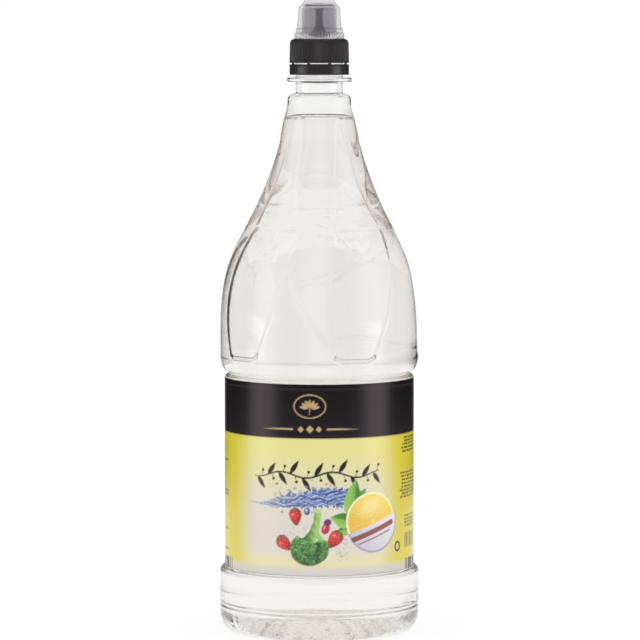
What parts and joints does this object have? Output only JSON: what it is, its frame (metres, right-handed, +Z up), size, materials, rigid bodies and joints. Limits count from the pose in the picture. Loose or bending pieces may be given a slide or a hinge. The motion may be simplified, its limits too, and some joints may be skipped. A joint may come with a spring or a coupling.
{
  "type": "vinegar bottle",
  "caption": "Clear waisted bottle of pale vinegar with a wrap label, sunken shoulder panels, a ribbed screw cap, push-pull spout and clear dust cap.",
  "frame": {"origin": "centre of the bottle's base, on the surface that it stands on", "axes": "+Z up along the bottle's axis, front of the label towards -Y"},
  "size_m": [0.102, 0.102, 0.3262],
  "materials": {
    "bottle": "clear blown polyester, glossy",
    "vinegar": "clear, nearly colourless liquid",
    "label": "printed film, semi-gloss",
    "cap": "moulded black plastic, satin",
    "spout": "translucent grey moulded plastic",
    "dust_cap": "clear moulded plastic, glossy"
  },
  "bodies": {
    "root": {"bottle": "bottle", "vinegar": "vinegar", "label": "label", "cap": "cap", "tamper_band": "cap", "spout": "spout", "dust_cap": "dust_cap"}
  },
  "joints": []
}
